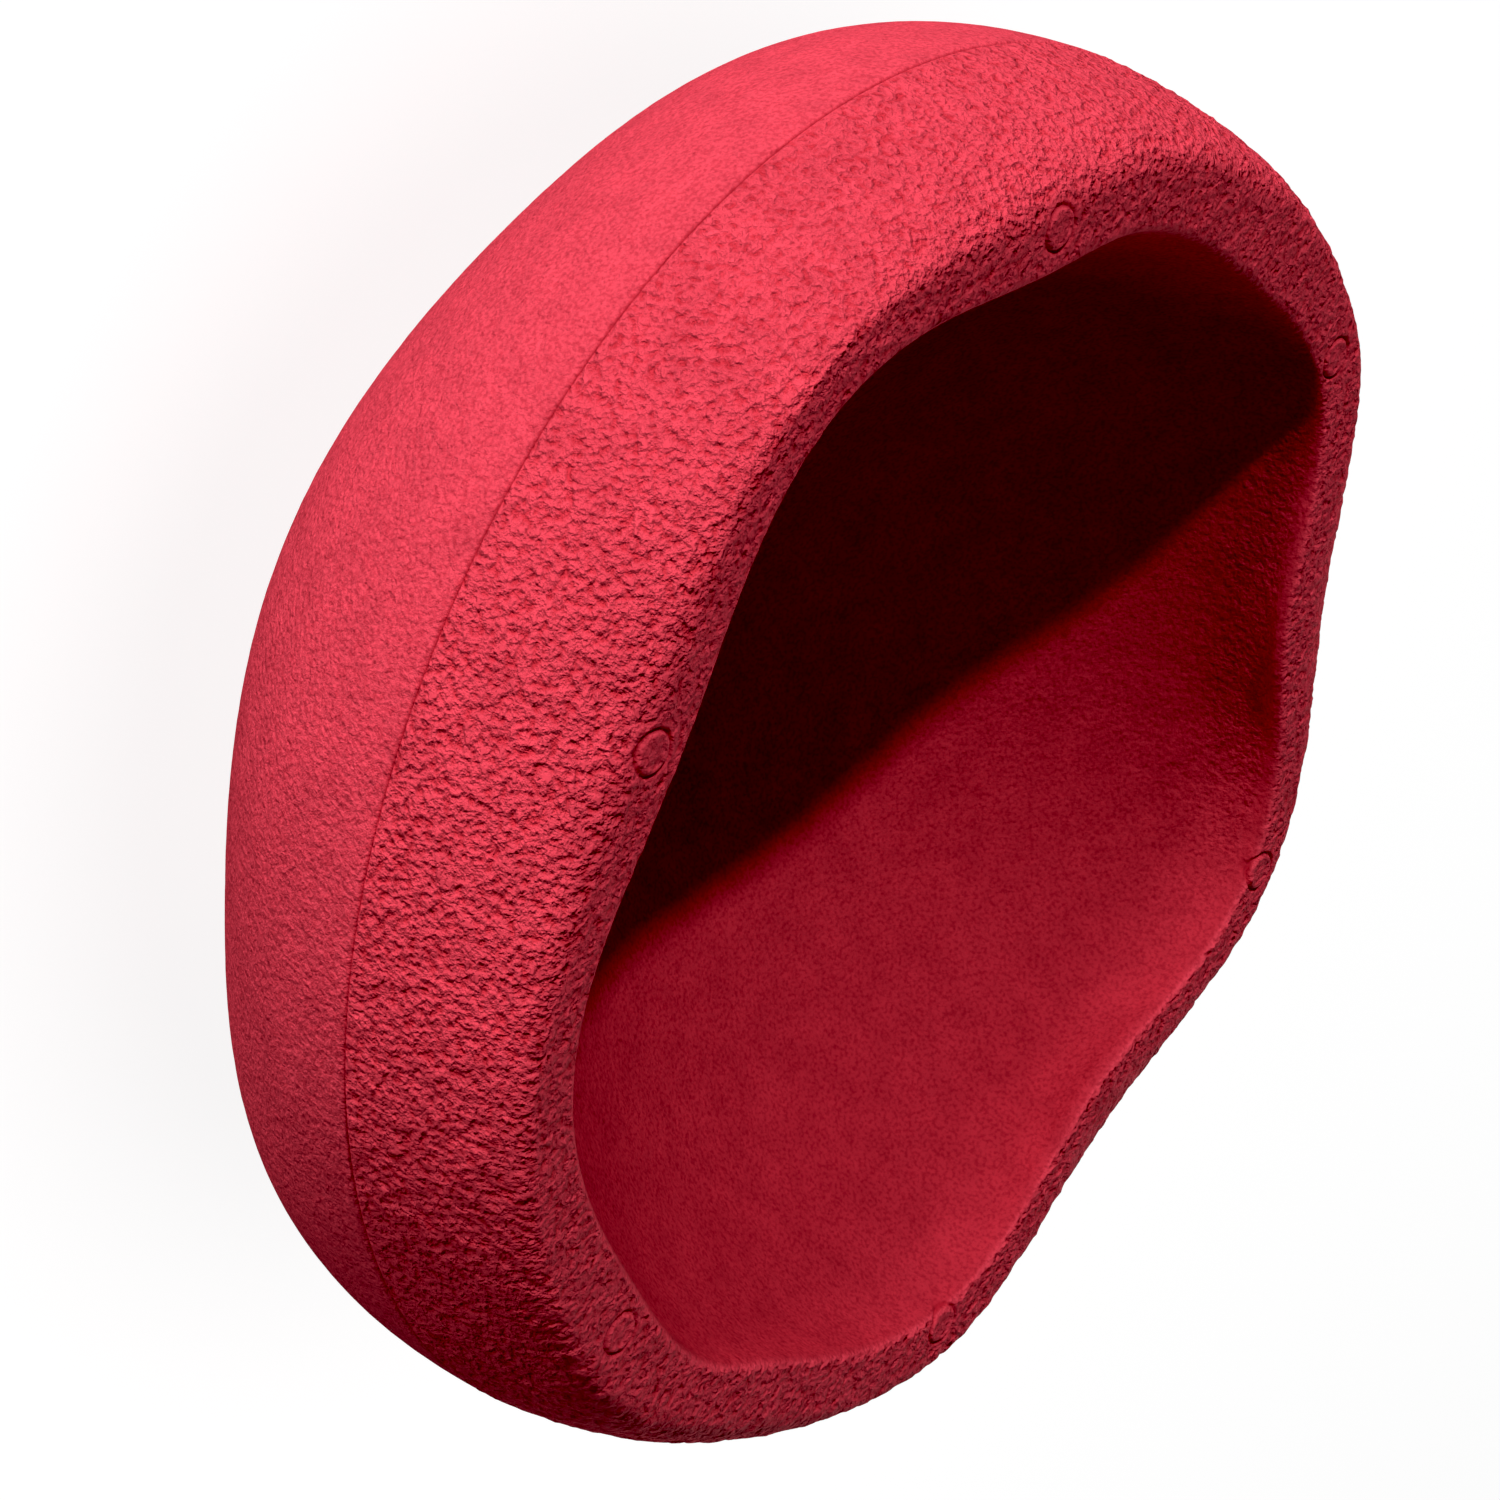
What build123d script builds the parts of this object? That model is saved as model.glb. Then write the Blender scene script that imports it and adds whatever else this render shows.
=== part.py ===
from build123d import *
import math
import os

# A hollow stepping and stacking stone, moulded in one shot from expanded polypropylene bead foam.
# It lies on the flat of its crown with the hollow facing up: z = 0 is that flat, and the rim is at the top.
# Two mould halves meet at the girth and leave a parting line there, with a fine-grained skin on the crown
# side and a coarse-grained skin on the rim side. The two nodes are the foam on each side of that line.

# Driving dimensions, in millimetres and degrees.
GIRTH_RADIUS = 137.5        # the widest plan outline, a plain circle at the parting line
HEIGHT = 120.0              # crown flat to rim face
PARTING_HEIGHT = 85.0       # crown flat to parting line
DOME_DEPTH = 89.0           # half height of the crown's superellipse, which the flat cuts short
DOME_POWER = 2.2
BAND_RISE_POWER = 1.3       # near 1 the band leans in straight from the girth
BAND_REACH_POWER = 2.2      # above 2 it turns late and squarely into the rim face
LIP_RADIUS = 2.5            # rounding between the rim face and the hollow
HOLLOW_DEPTH = 82.0         # foot of the lip down to the hollow's lowest point
HOLLOW_POWER = 1.5          # below 2 the hollow is a bowl, and its wall leans in all the way down
HOLLOW_WAVE_FADE = 4.0      # how soon below the lip the opening's waves die out
HOLLOW_FLOOR_SHARE = 0.985  # share of the hollow's depth at which its small flat floor lies
MARK_RING_RADIUS = 119.0    # circle on which the ejector marks sit
MARK_COUNT = 6
MARK_RADIUS = 4.6
MARK_GROOVE_WIDTH = 0.8
MARK_GROOVE_DEPTH = 0.6

# Waves in plan, as (angle, value) at each crest and each hollow in turn. The opening and rim waves are radii,
# and the crown wave is added to the girth radius.
OPENING_WAVE = [
    (0, 110.0), (30, 120.0), (60, 109.5), (88, 118.0), (120, 111.0), (136, 112.0), (150, 109.5),
    (180, 114.5), (210, 98.5), (240, 114.5), (270, 99.0), (300, 112.5), (322, 109.5), (345, 112.5),
]
RIM_WAVE = [
    (0, 120.5), (30, 130.0), (60, 120.0), (90, 128.5), (122, 126.0), (150, 121.0),
    (180, 126.0), (210, 105.0), (240, 124.0), (270, 107.5), (300, 125.0), (345, 123.5),
]
CROWN_WAVE = [
    (24, -5.5), (58, -1.5), (88, -5.0), (120, 3.0), (160, -3.0),
    (210, 3.0), (240, -3.0), (270, 3.0), (305, -5.0), (350, 1.0),
]

# How finely the curved walls are sampled.
OUTLINE_POINTS = 72
CROWN_SECTIONS = 10
BAND_SECTIONS = 8
HOLLOW_SECTIONS = 16
LIP_SECTIONS = 4


def wave(points, angle):
    """Value of a wave at an angle, running smoothly from each crest to the next hollow."""
    count = len(points)
    for i in range(count):
        start, low = points[i]
        end, high = points[(i + 1) % count]
        span = (end - start) % 360
        along = (angle - start) % 360
        if along < span:
            return low + (high - low) * (1 - math.cos(math.pi * along / span)) / 2
    return points[0][1]


def superellipse(share, power):
    """Width of a superellipse, from 1 to 0, at a share of its half height."""
    return (1 - share ** power) ** (1 / power)


def outer_radius(angle, z):
    """Distance from the axis to the outer skin."""
    if z <= PARTING_HEIGHT:
        drop = PARTING_HEIGHT - z
        lobe = wave(CROWN_WAVE, angle) * math.sin(math.pi / 2 * drop / PARTING_HEIGHT)
        return (GIRTH_RADIUS + lobe) * superellipse(drop / DOME_DEPTH, DOME_POWER)
    rise = (z - PARTING_HEIGHT) / (HEIGHT - PARTING_HEIGHT)
    rim = wave(RIM_WAVE, angle)
    return rim + (GIRTH_RADIUS - rim) * (1 - rise ** BAND_RISE_POWER) ** (1 / BAND_REACH_POWER)


def hollow_radius(angle, depth):
    """Distance from the axis to the hollow's wall, by depth below the foot of the lip."""
    share = depth / HOLLOW_DEPTH
    edge = wave(OPENING_WAVE, angle)
    mean = sum(value for _, value in OPENING_WAVE) / len(OPENING_WAVE)
    lobe = (edge - mean) * (1 - share) ** HOLLOW_WAVE_FADE
    return (mean + lobe) * superellipse(share, HOLLOW_POWER)


def lip_radius(angle, turn):
    """Distance from the axis to the rounded lip, where turn runs from 0 at its foot to 90 at the rim face."""
    return wave(OPENING_WAVE, angle) + LIP_RADIUS * (1 - math.cos(math.radians(turn)))


def outline(radius_at, z):
    """A closed plan outline at height z, from a function that gives its radius by angle."""
    points = []
    for i in range(OUTLINE_POINTS):
        angle = 360 * i / OUTLINE_POINTS
        radius = radius_at(angle)
        x = radius * math.cos(math.radians(angle))
        y = radius * math.sin(math.radians(angle))
        points.append((x, y, z))
    return Wire([Spline(*points, periodic=True)])


def crown_heights():
    """Section heights of the crown, closer together where it turns under."""
    return [PARTING_HEIGHT * (i / CROWN_SECTIONS) ** 1.5 for i in range(CROWN_SECTIONS + 1)]


def band_heights():
    """Section heights of the band, closer together where it turns into the rim face."""
    band = HEIGHT - PARTING_HEIGHT
    turns = [math.pi / 2 * i / BAND_SECTIONS for i in range(BAND_SECTIONS + 1)]
    return [PARTING_HEIGHT + band * math.sin(turn) ** (2 / BAND_RISE_POWER) for turn in turns]


def outer_body(heights):
    """Solid inside the outer skin over a run of heights."""
    return Solid.make_loft([outline(lambda a: outer_radius(a, z), z) for z in heights])


def hollow_body():
    """Solid that fills the hollow from its floor to the foot of the lip."""
    wires = []
    for i in range(HOLLOW_SECTIONS + 1):
        depth = HOLLOW_DEPTH * HOLLOW_FLOOR_SHARE * math.sin(math.pi / 2 * (1 - i / HOLLOW_SECTIONS))
        z = HEIGHT - LIP_RADIUS - depth
        wires.append(outline(lambda a: hollow_radius(a, depth), z))
    return Solid.make_loft(wires)


def lip_body():
    """Solid that fills the opening from the foot of the lip to the rim face."""
    wires = []
    for i in range(LIP_SECTIONS + 1):
        turn = 90 * i / LIP_SECTIONS
        z = HEIGHT - LIP_RADIUS + LIP_RADIUS * math.sin(math.radians(turn))
        wires.append(outline(lambda a: lip_radius(a, turn), z))
    return Solid.make_loft(wires)


def mark_grooves():
    """Ring-shaped cutters for the ejector marks round the rim."""
    grooves = []
    core = Cylinder(MARK_RADIUS - MARK_GROOVE_WIDTH, 2 * MARK_GROOVE_DEPTH)
    ring = Cylinder(MARK_RADIUS, 2 * MARK_GROOVE_DEPTH) - core
    for i in range(MARK_COUNT):
        place = Location((0, 0, 0), (0, 0, 360 * i / MARK_COUNT)) * Location((MARK_RING_RADIUS, 0, HEIGHT))
        grooves.append(place * ring)
    return grooves


def main():
    hollow = hollow_body()
    crown_shell = outer_body(crown_heights()) - hollow
    rim_band = outer_body(band_heights()) - hollow - lip_body()
    for groove in mark_grooves():
        rim_band = rim_band - groove

    os.makedirs("parts", exist_ok=True)
    for name, shape in {"crown_shell": crown_shell, "rim_band": rim_band}.items():
        solids = shape.solids()
        print(name, "solids", len(solids), "volume", round(shape.volume), "valid", shape.is_valid)
        export_step(shape, os.path.join("parts", name + ".step"))


main()
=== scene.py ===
"""Looks of a hollow foam stepping stone: its two moulded skins, soft studio light and a floor."""

import math

import bmesh
import bpy
import numpy as np
from mathutils import Matrix, Vector, noise


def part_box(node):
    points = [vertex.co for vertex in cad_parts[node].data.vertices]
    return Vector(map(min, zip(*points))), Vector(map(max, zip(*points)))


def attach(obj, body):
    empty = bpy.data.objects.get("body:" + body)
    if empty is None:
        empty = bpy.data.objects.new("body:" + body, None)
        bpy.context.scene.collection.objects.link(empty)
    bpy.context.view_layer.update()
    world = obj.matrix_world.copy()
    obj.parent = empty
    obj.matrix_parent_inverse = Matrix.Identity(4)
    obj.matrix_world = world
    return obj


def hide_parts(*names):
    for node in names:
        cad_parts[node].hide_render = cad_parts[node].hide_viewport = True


MM = 0.001

# The shape's own numbers, in millimetres and degrees, the same as the CAD model's.
DOME_DEPTH = 89.0
DOME_POWER = 2.2
BAND_RISE_POWER = 1.3
BAND_REACH_POWER = 2.2
LIP_RADIUS = 2.5
HOLLOW_DEPTH = 82.0
HOLLOW_POWER = 1.5
HOLLOW_WAVE_FADE = 4.0
MARK_RING_RADIUS = 119.0
MARK_COUNT = 6
MARK_RADIUS = 4.2
MARK_GROOVE_HALF_WIDTH = 0.6
MARK_GROOVE_DEPTH = 0.65
OPENING_WAVE = [
    (0, 110.0), (30, 120.0), (60, 109.5), (88, 118.0), (120, 111.0), (136, 112.0), (150, 109.5),
    (180, 114.5), (210, 98.5), (240, 114.5), (270, 99.0), (300, 112.5), (322, 109.5), (345, 112.5),
]
RIM_WAVE = [
    (0, 120.5), (30, 130.0), (60, 120.0), (90, 128.5), (122, 126.0), (150, 121.0),
    (180, 126.0), (210, 105.0), (240, 124.0), (270, 107.5), (300, 125.0), (345, 123.5),
]
CROWN_WAVE = [
    (24, -5.5), (58, -1.5), (88, -5.0), (120, 3.0), (160, -3.0),
    (210, 3.0), (240, -3.0), (270, 3.0), (305, -5.0), (350, 1.0),
]

# Skin relief, in millimetres, and how much of it a ring mark takes away.
PARTING_GROOVE_DEPTH = 0.45
PARTING_GROOVE_REACH = 0.7
# Half width of the painted shade along the parting line.
GROOVE_SHADE_HALF_WIDTH = 0.35
COARSE_GRAIN_SIZE = 2.4
COARSE_GRAIN_HEIGHT = 0.38
FINE_GRAIN_SIZE = 3.0
FINE_GRAIN_HEIGHT = 0.05
CALM_AT_MARK = 0.6

# Where the hollow's wall is rough: its middle in degrees, how rough, and how deep it reaches in millimetres.
ROUGH_WALL_AZIMUTH = -95.0
ROUGH_WALL_SHARE = 0.38
ROUGH_WALL_REACH = 26.0

# Mesh spacing along a section, in millimetres, and points round a ring.
BAND_STEP = 0.85
WALL_STEP = 1.2
CROWN_STEP = 1.45
DENSE_SAMPLES = 2000
PROBE_POINTS = 45
LIP_RINGS = 8
CROWN_POINTS = 720
BAND_POINTS = 896
HOLLOW_POINTS = 448
FEWEST_POINTS = 40
THINNING_RADIUS = 60.0
JOINT_STEPS = (0.0, 0.15, 0.45, 0.9)
ON_JOINT = 0.02

# Reach of the finer mesh and of the calm skin round a ring mark, in millimetres.
MARK_MESH_MARGIN = 1.2
MARK_CALM_MARGIN = 2.0
MARK_CALM_BLEND = 1.5
MARK_SEARCH_DEPTH = 6.0
# Painted shade in a ring mark's groove, as a share of that on the parting line.
MARK_GROOVE_SHADE_SHARE = 0.7

# Camera, in millimetres and degrees, in the frame's own axes.
CAMERA_AZIMUTH = 52.85
CAMERA_ELEVATION = 30.74
CAMERA_ROLL = -244.74
CAMERA_DISTANCE = 803.4
CAMERA_SIDE = 1.0
CAMERA_RISE = -9.0
CAMERA_AIM_HEIGHT = 60.0
CAMERA_LENS = 100.5
SENSOR_WIDTH = 36.0

# Suns on the stone: name, azimuth, elevation, strength and angular size, in degrees.
SUNS = [
    ("side", 12, 22, 1.8, 2.5),
    ("key", 16, -25, 1.38, 10),
    ("left_fill", 100, -40, 0.45, 40),
    ("right_fill", -60, -10, 0.6, 40),
    ("graze", 35, 3, 0.9, 6),
    ("back", -140, 6, 1.4, 30),
]
WORLD_STRENGTH = 0.058

# The floor, in metres: its flat, the bend up into the wall, and how much it reflects and glows.
FLOOR_RADIUS = 2.2
FLOOR_BEND = 0.8
FLOOR_WALL = 3.0
FLOOR_GREY = (0.16, 0.16, 0.16)
FLOOR_GLOW = 0.9

# Share of full white that shows as black in red, green and blue, as in a picture with deep shadows.
BLACK_LEVEL = (0.02, 0.012, 0.012)


def wave(points, angles):
    """Values of a wave at an array of angles, running smoothly from each crest to the next hollow."""
    values = np.zeros_like(angles)
    count = len(points)
    for i in range(count):
        start, low = points[i]
        end, high = points[(i + 1) % count]
        span = (end - start) % 360
        along = (angles - start) % 360
        inside = along < span
        values[inside] = low + (high - low) * (1 - np.cos(math.pi * along[inside] / span)) / 2
    return values


class Stone:
    """The stone's smooth shape: rings of points at stations along its section."""

    def __init__(self, crown_box, band_box):
        self.girth = (band_box[1][0] - band_box[0][0]) / 2 / MM
        self.parting = band_box[0][2] / MM
        self.height = band_box[1][2] / MM

    def crown_ring(self, angles, z):
        """Radii of the crown's outer skin at height z."""
        drop = self.parting - z
        lobe = wave(CROWN_WAVE, angles) * math.sin(math.pi / 2 * drop / self.parting)
        return (self.girth + lobe) * (1 - (drop / DOME_DEPTH) ** DOME_POWER) ** (1 / DOME_POWER)

    def band_ring(self, angles, z):
        """Radii of the band's outer skin at height z."""
        rise = min(1.0, max(0.0, (z - self.parting) / (self.height - self.parting)))
        rim = wave(RIM_WAVE, angles)
        return rim + (self.girth - rim) * (1 - rise ** BAND_RISE_POWER) ** (1 / BAND_REACH_POWER)

    def hollow_ring(self, angles, share):
        """Radii of the hollow's wall at a share of its depth."""
        edge = wave(OPENING_WAVE, angles)
        mean = sum(value for _, value in OPENING_WAVE) / len(OPENING_WAVE)
        lobe = (edge - mean) * (1 - share) ** HOLLOW_WAVE_FADE
        return (mean + lobe) * max(0.0, 1 - share ** HOLLOW_POWER) ** (1 / HOLLOW_POWER)

    def hollow_height(self, share):
        return self.height - LIP_RADIUS - HOLLOW_DEPTH * share


def even_steps(path, step):
    """A path's own parameter at even steps along its length. A path is rows of (parameter, r, z)."""
    lengths = np.concatenate([[0.0], np.cumsum(np.hypot(np.diff(path[:, 1]), np.diff(path[:, 2])))])
    count = max(2, int(round(lengths[-1] / step)) + 1)
    return np.interp(np.linspace(0, lengths[-1], count), lengths, path[:, 0])


def mean_path(values, radius_at, height_at):
    """Rows of (parameter, r, z) along one section of the stone."""
    probe = np.arange(0.0, 360.0, 15.0)
    return np.array([(v, radius_at(probe, v).mean(), height_at(v)) for v in values])


def ring_points(angles, radii, z):
    """Points of a ring, in millimetres, from its radii and one height."""
    turn = np.radians(angles)
    return np.stack([radii * np.cos(turn), radii * np.sin(turn), np.full_like(turn, z)], axis=1)


def columns_for(radius, most):
    """Points round a ring: the full count where it is wide, and half as many each time the ring halves."""
    count = most
    while radius < THINNING_RADIUS * count / most and count > FEWEST_POINTS:
        count //= 2
    return count


def ring_angles(count):
    return np.arange(count) * 360.0 / count


class Loft:
    """A closed mesh made of rings, with a number kept for each point that says where on the section it is."""

    def __init__(self):
        self.bm = bmesh.new()
        self.rings = []
        self.zone = self.bm.verts.layers.int.new("zone")

    def add_ring(self, points, zone):
        ring = [self.bm.verts.new(point) for point in points]
        for vert in ring:
            vert[self.zone] = zone
        if self.rings:
            self.stitch(self.rings[-1], ring)
        self.rings.append(ring)

    def add_pole(self, point, zone):
        """Adds a single point, for a fan at the mesh's start or end."""
        vert = self.bm.verts.new(point)
        vert[self.zone] = zone
        return vert

    def fan(self, vert, ring, reverse):
        """Closes a ring with triangles round one point."""
        for i in range(len(ring)):
            face = [vert, ring[i], ring[(i + 1) % len(ring)]]
            self.bm.faces.new(face[::-1] if reverse else face)

    def stitch(self, first, second):
        """Joins two rings with quads, or with triangles where their counts differ."""
        n, m = len(first), len(second)
        if n == m:
            for i in range(n):
                j = (i + 1) % n
                self.bm.faces.new([first[i], first[j], second[j], second[i]])
            return
        i = j = 0
        while i < n or j < m:
            if j >= m or (i < n and (i + 1) / n <= (j + 1) / m):
                self.bm.faces.new([first[i % n], first[(i + 1) % n], second[j % m]])
                i += 1
            else:
                self.bm.faces.new([first[i % n], second[(j + 1) % m], second[j % m]])
                j += 1


CROWN, BAND, RIM_FACE, HOLLOW = range(4)


def build_crown(stone):
    """The crown skin: flat, dome, joint face and the lower hollow, as one closed mesh."""
    loft = Loft()
    flat_angles = ring_angles(PROBE_POINTS)
    flat_radius = stone.crown_ring(flat_angles, 0.0).mean()
    pole = loft.add_pole((0, 0, 0), CROWN)
    for share in np.linspace(0, 1, int(flat_radius / CROWN_STEP))[1:-1]:
        angles = ring_angles(columns_for(share * flat_radius, CROWN_POINTS))
        loft.add_ring(ring_points(angles, share * stone.crown_ring(angles, 0.0), 0.0), CROWN)
        if len(loft.rings) == 1:
            loft.fan(pole, loft.rings[0], True)
    heights = np.linspace(0, 1, DENSE_SAMPLES) ** 2 * stone.parting
    path = mean_path(heights, stone.crown_ring, float)
    fine = stone.parting - np.array(JOINT_STEPS[::-1])
    steps = [z for z in even_steps(path, CROWN_STEP) if z < fine[0] - 0.5]
    for z in steps + list(fine):
        angles = ring_angles(columns_for(stone.crown_ring(flat_angles, z).mean(), CROWN_POINTS))
        loft.add_ring(ring_points(angles, stone.crown_ring(angles, z), z), CROWN)
    start = (stone.height - LIP_RADIUS - stone.parting) / HOLLOW_DEPTH
    shares = start + (1 - start) * np.sin(np.linspace(0, math.pi / 2, DENSE_SAMPLES))
    path = mean_path(shares, stone.hollow_ring, stone.hollow_height)
    for share in even_steps(path, CROWN_STEP)[:-1]:
        mean = stone.hollow_ring(flat_angles, share).mean()
        angles = ring_angles(columns_for(mean, HOLLOW_POINTS))
        z = stone.hollow_height(share)
        loft.add_ring(ring_points(angles, stone.hollow_ring(angles, share), z), HOLLOW)
    floor = loft.add_pole((0, 0, stone.hollow_height(1.0)), HOLLOW)
    loft.fan(floor, loft.rings[-1], False)
    return loft


def build_band(stone):
    """The rim skin: band, rim face, lip and the upper hollow, as one closed mesh."""
    loft = Loft()
    band_angles = ring_angles(BAND_POINTS)
    turns = np.linspace(0, math.pi / 2, DENSE_SAMPLES)
    heights = stone.parting + (stone.height - stone.parting) * np.sin(turns) ** (2 / BAND_RISE_POWER)
    path = mean_path(heights, stone.band_ring, float)
    fine = stone.parting + np.array(JOINT_STEPS)
    steps = [z for z in even_steps(path, BAND_STEP) if z > fine[-1] + 0.4]
    for z in list(fine) + steps:
        loft.add_ring(ring_points(band_angles, stone.band_ring(band_angles, z), z), BAND)
    outer = wave(RIM_WAVE, band_angles)
    inner = wave(OPENING_WAVE, band_angles) + LIP_RADIUS
    face_rows = int(round((outer - inner).mean() / BAND_STEP))
    for i in range(1, face_rows):
        radii = outer + (inner - outer) * i / face_rows
        loft.add_ring(ring_points(band_angles, radii, stone.height), RIM_FACE)
    for turn in np.radians(np.linspace(90, 0, LIP_RINGS)):
        radii = inner - LIP_RADIUS * math.cos(turn)
        z = stone.height - LIP_RADIUS + LIP_RADIUS * math.sin(turn)
        loft.add_ring(ring_points(band_angles, radii, z), RIM_FACE)
    end = (stone.height - LIP_RADIUS - stone.parting) / HOLLOW_DEPTH
    path = mean_path(np.linspace(0, end, DENSE_SAMPLES), stone.hollow_ring, stone.hollow_height)
    for share in even_steps(path, WALL_STEP)[1:]:
        angles = band_angles if share < end - 1e-9 else ring_angles(HOLLOW_POINTS)
        z = stone.hollow_height(share)
        loft.add_ring(ring_points(angles, stone.hollow_ring(angles, share), z), HOLLOW)
    loft.stitch(loft.rings[-1], loft.rings[0])
    return loft


def mark_centres():
    """Plan centres of the ring marks, in millimetres."""
    turns = np.radians(np.arange(MARK_COUNT) * 360.0 / MARK_COUNT)
    return [(MARK_RING_RADIUS * math.cos(t), MARK_RING_RADIUS * math.sin(t)) for t in turns]


def refine_marks(loft, stone):
    """Cuts the faces round each ring mark finer, so that its groove is real geometry."""
    edges = set()
    for face in loft.bm.faces:
        centre = face.calc_center_median()
        if centre.z < stone.height - MARK_SEARCH_DEPTH:
            continue
        for x, y in mark_centres():
            if math.hypot(centre.x - x, centre.y - y) < MARK_RADIUS + MARK_MESH_MARGIN:
                edges.update(face.edges)
    bmesh.ops.subdivide_edges(loft.bm, edges=list(edges), cuts=2, use_grid_fill=True)


def fractal(point, size, octaves):
    """Layered noise at a point, about -1 to 1."""
    total = 0.0
    height = 1.0
    place = Vector(point) / size
    for _ in range(octaves):
        total += height * noise.noise(place)
        place = place * 2.03 + Vector((3.1, 1.7, 5.3))
        height *= 0.5
    return total


def pebble(point):
    """Coarse grain: rounded lumps with narrow pits between them."""
    lumps = fractal(point, COARSE_GRAIN_SIZE, 2)
    return 0.9 * lumps - 0.9 * max(0.0, 0.25 - abs(lumps + 0.25)) + 0.35 * fractal(point, 7.0, 1)


def smooth_step(value, low, high):
    share = min(1.0, max(0.0, (value - low) / (high - low)))
    return share * share * (3 - 2 * share)


def mark_distance(point, stone):
    """Distance from the centre of the nearest ring mark, or far away where there is none."""
    if point.z < stone.height - MARK_SEARCH_DEPTH:
        return stone.girth
    return min(math.hypot(point.x - x, point.y - y) for x, y in mark_centres())


def calm_share(point, stone):
    """How much the coarse grain calms down on and just round a ring mark."""
    inside = MARK_RADIUS + MARK_CALM_MARGIN - mark_distance(point, stone)
    return CALM_AT_MARK * smooth_step(inside, 0, MARK_CALM_BLEND)


def coarse_share(point, zone, stone):
    """Share of the coarse grain: all on the band and rim, some high on one side of the hollow."""
    depth = stone.height - point.z
    if zone == BAND:
        return 1.0 - calm_share(point, stone)
    if zone == RIM_FACE:
        lip = smooth_step(depth, 0.01 * LIP_RADIUS, 0.2 * LIP_RADIUS)
        return (1.0 - calm_share(point, stone)) * (1 - lip)
    if zone == HOLLOW:
        turn = math.radians(ROUGH_WALL_AZIMUTH) - math.atan2(point.y, point.x)
        side = ROUGH_WALL_SHARE * max(0.0, math.cos(turn)) ** 3
        deep = smooth_step(depth + 4 * noise.noise(point / 9.0), 0.25 * ROUGH_WALL_REACH, ROUGH_WALL_REACH)
        return side * (1.0 - deep) * smooth_step(depth, LIP_RADIUS, 2 * LIP_RADIUS)
    return 0.0


def hollow_shade_share(point, zone, stone):
    """Share of painted shade: 1 on the hollow's own skin, which is coloured darker to deepen the shade inside
    it, 0 on the outside, changing over on the lip.
    """
    if zone == HOLLOW:
        return 1.0
    if zone == RIM_FACE:
        return smooth_step(stone.height - point.z, 0.1 * LIP_RADIUS, 0.5 * LIP_RADIUS)
    return 0.0


def groove_shade_share(point, zone, stone):
    """Share of painted shade: 1 on the parting line and in the grooves of the ring marks, 0 a little away
    from them.
    """
    if zone == HOLLOW:
        return 0.0
    mark = MARK_GROOVE_SHADE_SHARE * groove(mark_distance(point, stone) - MARK_RADIUS, MARK_GROOVE_HALF_WIDTH)
    return max(mark, groove(point.z - stone.parting, GROOVE_SHADE_HALF_WIDTH))


def groove(distance, half_width):
    """Depth share of a round-bottomed groove at a distance from its centre line."""
    share = min(1.0, abs(distance) / half_width)
    return (1 - share * share) ** 2


def relief(point, zone, stone):
    """How far the skin stands out of the smooth shape at a point, in millimetres."""
    coarse = coarse_share(point, zone, stone)
    grain = coarse * COARSE_GRAIN_HEIGHT * pebble(point)
    grain += (1 - coarse) * FINE_GRAIN_HEIGHT * fractal(point, FINE_GRAIN_SIZE, 2)
    line = point.z - stone.parting
    if zone in (CROWN, BAND) and abs(line) < 3:
        grain *= smooth_step(abs(line), 0.2, 1.8)
        grain -= PARTING_GROOVE_DEPTH * groove(line, PARTING_GROOVE_REACH)
    if zone in (BAND, RIM_FACE):
        away = mark_distance(point, stone) - MARK_RADIUS
        grain -= MARK_GROOVE_DEPTH * groove(away, MARK_GROOVE_HALF_WIDTH)
        grain += 0.3 * MARK_GROOVE_DEPTH * groove(away + 1.1, 0.8)
    return grain


def to_object(loft, name, stone):
    """Finishes a loft: adds the relief, stores the skin shares, scales to metres and makes the object."""
    bm = loft.bm
    bm.normal_update()
    bmesh.ops.recalc_face_normals(bm, faces=bm.faces)
    coarse = bm.verts.layers.float.new("coarse")
    # Point data for the hollow's skin: painted shade inside the hollow, and less grain there.
    hollow_shade = bm.verts.layers.float.new("hollow_shade")
    # Point data for painted shade along the parting line and in the ring marks' grooves.
    groove_shade = bm.verts.layers.float.new("groove_shade")
    moves = []
    for vert in bm.verts:
        zone = vert[loft.zone]
        vert[coarse] = coarse_share(vert.co, zone, stone)
        vert[hollow_shade] = hollow_shade_share(vert.co, zone, stone)
        vert[groove_shade] = groove_shade_share(vert.co, zone, stone)
        on_joint = abs(vert.co.z - stone.parting) < ON_JOINT
        out = Vector((vert.co.x, vert.co.y, 0)).normalized() if on_joint else vert.normal
        if on_joint and zone == HOLLOW:
            out = -out
        moves.append(out * relief(vert.co, zone, stone))
    for vert, move in zip(bm.verts, moves):
        vert.co += move
    for face in bm.faces:
        flat = all(abs(vert.co.z - stone.parting) < ON_JOINT for vert in face.verts)
        face.smooth = not flat
        if flat:
            for edge in face.edges:
                edge.smooth = False
    bm.transform(Matrix.Scale(MM, 4))
    mesh = bpy.data.meshes.new(name)
    bm.to_mesh(mesh)
    bm.free()
    piece = bpy.data.objects.new(name, mesh)
    bpy.context.scene.collection.objects.link(piece)
    return piece


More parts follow.
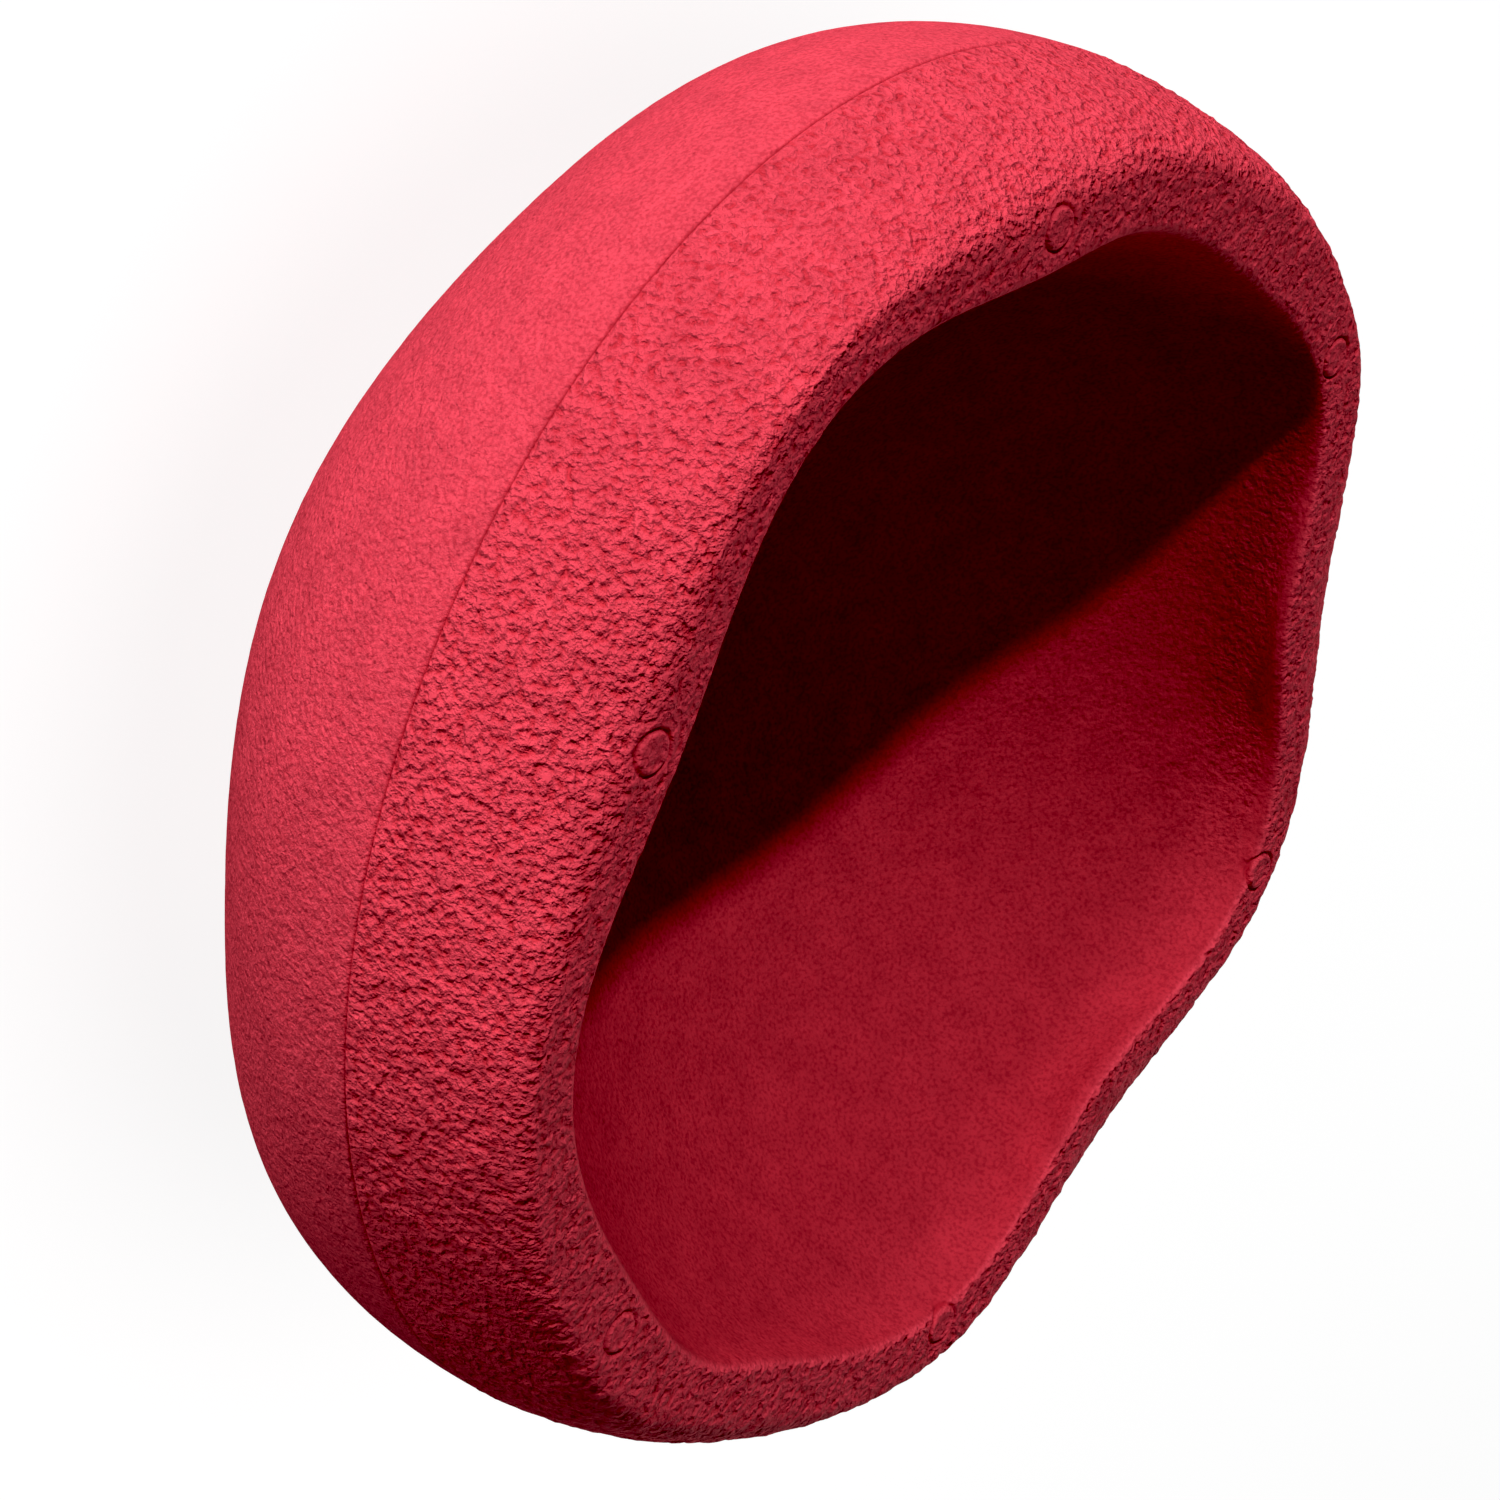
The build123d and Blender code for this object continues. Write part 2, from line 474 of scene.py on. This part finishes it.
class Nodes:
    """Short ways to add shader nodes to one material."""

    def __init__(self, material):
        material.use_nodes = True
        self.tree = material.node_tree
        self.shader = self.tree.nodes["Principled BSDF"]

    def add(self, kind, **settings):
        node = self.tree.nodes.new(kind)
        for key, value in settings.items():
            setattr(node, key, value)
        return node

    def link(self, source, target):
        self.tree.links.new(source, target)

    def noise(self, vector, size, detail, roughness):
        node = self.add("ShaderNodeTexNoise")
        node.inputs["Scale"].default_value = 1 / (size * MM)
        node.inputs["Detail"].default_value = detail
        node.inputs["Roughness"].default_value = roughness
        self.link(vector, node.inputs["Vector"])
        return node.outputs["Fac"]

    def attribute(self, name):
        return self.add("ShaderNodeAttribute", attribute_name=name).outputs["Fac"]

    def math(self, operation, a, b):
        node = self.add("ShaderNodeMath", operation=operation)
        for socket, value in zip(node.inputs, (a, b)):
            if isinstance(value, (int, float)):
                socket.default_value = value
            else:
                self.link(value, socket)
        return node.outputs[0]

    def mix_colour(self, share, low, high):
        node = self.add("ShaderNodeMix", data_type="RGBA")
        self.link(share, node.inputs["Factor"])
        for name, value in (("A", low), ("B", high)):
            socket = [s for s in node.inputs if s.name == name and s.type == "RGBA"][0]
            if isinstance(value, tuple):
                socket.default_value = (*value, 1.0)
            else:
                self.link(value, socket)
        return [s for s in node.outputs if s.type == "RGBA"][0]

    def ramp(self, value, low, high, out_low=0.0, out_high=1.0):
        node = self.add("ShaderNodeMapRange")
        self.link(value, node.inputs["Value"])
        node.inputs["From Min"].default_value = low
        node.inputs["From Max"].default_value = high
        node.inputs["To Min"].default_value = out_low
        node.inputs["To Max"].default_value = out_high
        return node.outputs[0]

    def bump(self, height, distance, normal=None):
        node = self.add("ShaderNodeBump")
        node.inputs["Strength"].default_value = 1.0
        node.inputs["Distance"].default_value = distance * MM
        self.link(height, node.inputs["Height"])
        if normal is not None:
            self.link(normal, node.inputs["Normal"])
        return node.outputs[0]


# Base colours. The band's pit red is painted shade in its pits, the hollow's reds are painted shade inside
# the hollow, the groove red is painted shade along the parting line and in the ring marks' grooves, and the
# crown's pit red is darker specks at random.
BAND_RED = (0.88, 0.075, 0.113)
# Painted shade: a darker red in the band's pits, where the same lumps that make its bump are low.
BAND_PIT_SHADE_RED = (0.70, 0.042, 0.064)
CROWN_RED = (0.84, 0.076, 0.114)
CROWN_PIT_RED = (0.66, 0.050, 0.077)
# Painted shade: the hollow's skin is a darker red than the outside, to deepen the shade inside it.
HOLLOW_SHADE_RED = (0.56, 0.039, 0.061)
HOLLOW_SHADE_PIT_RED = (0.42, 0.026, 0.042)
# Painted shade: a dark red along the parting line and in the ring marks' grooves.
GROOVE_SHADE_RED = (0.42, 0.020, 0.034)

# Sizes of the skin's shader detail, in millimetres.
PEBBLE_SIZE = 1.45
PEBBLE_BUMP = 1.1
GRAIN_SIZE = 1.5
GRAIN_BUMP = 1.15
CORE_GRAIN_SHARE = 0.4
SPECK_SIZE = 0.8
CLOUD_SIZE = 8.0


def foam_material(name):
    """Bead foam skin, with painted shade inside the hollow, in the band's pits and in the grooves. Point data
    says where it is pebbled, in the hollow, or in a groove.
    """
    material = bpy.data.materials.new(name)
    nodes = Nodes(material)
    place = nodes.add("ShaderNodeTexCoord").outputs["Object"]
    coarse = nodes.attribute("coarse")
    hollow_shade = nodes.attribute("hollow_shade")

    lumps = nodes.noise(place, PEBBLE_SIZE, 3.0, 0.5)
    grain = nodes.noise(place, GRAIN_SIZE, 3.0, 0.62)
    specks = nodes.noise(place, SPECK_SIZE, 2.0, 0.5)
    clouds = nodes.noise(place, CLOUD_SIZE, 4.0, 0.6)
    pebbles = nodes.ramp(lumps, 0.26, 0.66)

    # Painted shade in the band's pits: darker where the lumps are low.
    band = nodes.mix_colour(nodes.ramp(lumps, 0.34, 0.5), BAND_PIT_SHADE_RED, BAND_RED)
    # Painted shade inside the hollow: its skin is a darker red, with random specks.
    inner = nodes.mix_colour(nodes.ramp(specks, 0.34, 0.56), HOLLOW_SHADE_PIT_RED, HOLLOW_SHADE_RED)
    crown = nodes.mix_colour(nodes.ramp(specks, 0.36, 0.58), CROWN_PIT_RED, CROWN_RED)
    outer = nodes.mix_colour(coarse, crown, band)
    skin = nodes.mix_colour(hollow_shade, outer, inner)
    # Painted shade along the parting line and in the ring marks' grooves.
    skin = nodes.mix_colour(nodes.attribute("groove_shade"), skin, GROOVE_SHADE_RED)
    shade = nodes.add("ShaderNodeHueSaturation")
    nodes.link(skin, shade.inputs["Color"])
    nodes.link(nodes.ramp(clouds, 0.3, 0.7, 0.9, 1.1), shade.inputs["Value"])
    nodes.link(shade.outputs[0], nodes.shader.inputs["Base Color"])
    nodes.link(nodes.ramp(specks, 0.3, 0.7, 0.92, 0.8), nodes.shader.inputs["Roughness"])
    nodes.shader.inputs["Specular IOR Level"].default_value = 0.03

    off_band = nodes.ramp(coarse, 0, 1, 1, 0)
    smooth = nodes.math("MULTIPLY", off_band, nodes.ramp(hollow_shade, 0, 1, 1, CORE_GRAIN_SHARE))
    normal = nodes.bump(nodes.math("MULTIPLY", pebbles, coarse), PEBBLE_BUMP)
    normal = nodes.bump(nodes.math("MULTIPLY", grain, smooth), GRAIN_BUMP, normal)
    nodes.link(normal, nodes.shader.inputs["Normal"])
    return material


def aim_vectors(azimuth, elevation):
    """The direction from the stone towards a place in the sky."""
    turn, rise = math.radians(azimuth), math.radians(elevation)
    return Vector((math.cos(rise) * math.cos(turn), math.cos(rise) * math.sin(turn), math.sin(rise)))


def add_camera():
    back = aim_vectors(CAMERA_AZIMUTH, CAMERA_ELEVATION)
    right = Vector((0, 0, 1)).cross(back).normalized()
    up = back.cross(right)
    roll = math.radians(CAMERA_ROLL)
    side = math.cos(roll) * right + math.sin(roll) * up
    top = math.cos(roll) * up - math.sin(roll) * right
    aim = Vector((0, 0, CAMERA_AIM_HEIGHT)) + side * CAMERA_SIDE + top * CAMERA_RISE
    place = aim + back * CAMERA_DISTANCE
    data = bpy.data.cameras.new("camera")
    data.sensor_width = SENSOR_WIDTH
    data.lens = CAMERA_LENS
    camera = bpy.data.objects.new("camera", data)
    camera.matrix_world = Matrix.Translation(place * MM) @ Matrix((side, top, back)).transposed().to_4x4()
    bpy.context.scene.collection.objects.link(camera)
    bpy.context.scene.camera = camera


def add_sun(name, azimuth, elevation, strength, softness, receivers):
    data = bpy.data.lights.new(name, "SUN")
    data.energy = strength
    data.angle = math.radians(softness)
    light = bpy.data.objects.new(name, data)
    light.rotation_euler = aim_vectors(azimuth, elevation).to_track_quat("Z", "Y").to_euler()
    bpy.context.scene.collection.objects.link(light)
    light.light_linking.receiver_collection = receivers


def add_softbox(name, azimuth, elevation, distance, size, power, receivers):
    data = bpy.data.lights.new(name, "AREA")
    data.shape = "DISK"
    data.size = size
    data.energy = power
    light = bpy.data.objects.new(name, data)
    light.visible_camera = False
    direction = aim_vectors(azimuth, elevation)
    light.location = direction * distance
    light.rotation_euler = direction.to_track_quat("Z", "Y").to_euler()
    bpy.context.scene.collection.objects.link(light)
    light.light_linking.receiver_collection = receivers


def add_floor():
    """A round studio floor that curves up into a pale wall all the way round."""
    loft = Loft()
    pole = loft.add_pole((0, 0, 0), CROWN)
    section = [(0.5, 0.0), (FLOOR_RADIUS, 0.0)]
    for turn in np.radians(np.arange(7.5, 91, 7.5)):
        section.append((FLOOR_RADIUS + FLOOR_BEND * math.sin(turn), FLOOR_BEND * (1 - math.cos(turn))))
    section.append((FLOOR_RADIUS + FLOOR_BEND, FLOOR_WALL))
    angles = ring_angles(96)
    for radius, z in section:
        loft.add_ring(ring_points(angles, np.full_like(angles, radius), z), CROWN)
    loft.fan(pole, loft.rings[0], True)
    bmesh.ops.recalc_face_normals(loft.bm, faces=loft.bm.faces)
    mesh = bpy.data.meshes.new("studio_floor")
    for face in loft.bm.faces:
        face.smooth = True
    loft.bm.to_mesh(mesh)
    loft.bm.free()
    floor = bpy.data.objects.new("studio_floor", mesh)
    bpy.context.scene.collection.objects.link(floor)
    material = bpy.data.materials.new("studio_white")
    nodes = Nodes(material)
    nodes.shader.inputs["Base Color"].default_value = (*FLOOR_GREY, 1)
    nodes.shader.inputs["Roughness"].default_value = 0.9
    nodes.shader.inputs["Specular IOR Level"].default_value = 0.0
    nodes.shader.inputs["Emission Color"].default_value = (1, 1, 1, 1)
    nodes.shader.inputs["Emission Strength"].default_value = FLOOR_GLOW
    mesh.materials.append(material)
    floor.visible_diffuse = False
    floor.visible_glossy = False
    floor.visible_shadow = False
    return floor


def collection_of(name, objects):
    group = bpy.data.collections.new(name)
    for obj in objects:
        group.objects.link(obj)
    return group


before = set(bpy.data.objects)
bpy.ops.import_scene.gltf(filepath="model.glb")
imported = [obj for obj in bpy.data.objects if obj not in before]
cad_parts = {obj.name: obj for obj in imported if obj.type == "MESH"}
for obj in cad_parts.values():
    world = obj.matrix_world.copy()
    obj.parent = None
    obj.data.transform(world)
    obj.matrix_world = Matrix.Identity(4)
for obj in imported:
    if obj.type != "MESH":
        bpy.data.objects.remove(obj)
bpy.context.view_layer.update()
add_camera()
stone = Stone(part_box("crown_shell"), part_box("rim_band"))

crown_skin = to_object(build_crown(stone), "crown_skin", stone)
rim_loft = build_band(stone)
refine_marks(rim_loft, stone)
rim_skin = to_object(rim_loft, "rim_skin", stone)

for piece, node, slot in ((crown_skin, "crown_shell", "crown_foam"), (rim_skin, "rim_band", "rim_foam")):
    piece.data.materials.append(foam_material(slot))
    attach(piece, "root")
    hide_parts(node)

floor = add_floor()
on_stone = collection_of("lit_stone", [crown_skin, rim_skin])
on_floor = collection_of("lit_floor", [floor])
for name, azimuth, elevation, strength, softness in SUNS:
    add_sun(name, azimuth, elevation, strength, softness, on_stone)
add_softbox("top", 40, 80, 1.6, 1.6, 22, on_floor)

world = bpy.data.worlds.new("studio")
world.use_nodes = True
world.node_tree.nodes["Background"].inputs["Color"].default_value = (1, 1, 1, 1)
world.node_tree.nodes["Background"].inputs["Strength"].default_value = WORLD_STRENGTH
bpy.context.scene.world = world
view = bpy.context.scene.view_settings
view.view_transform = "Standard"
view.use_curve_mapping = True
view.curve_mapping.black_level = BLACK_LEVEL
view.curve_mapping.update()
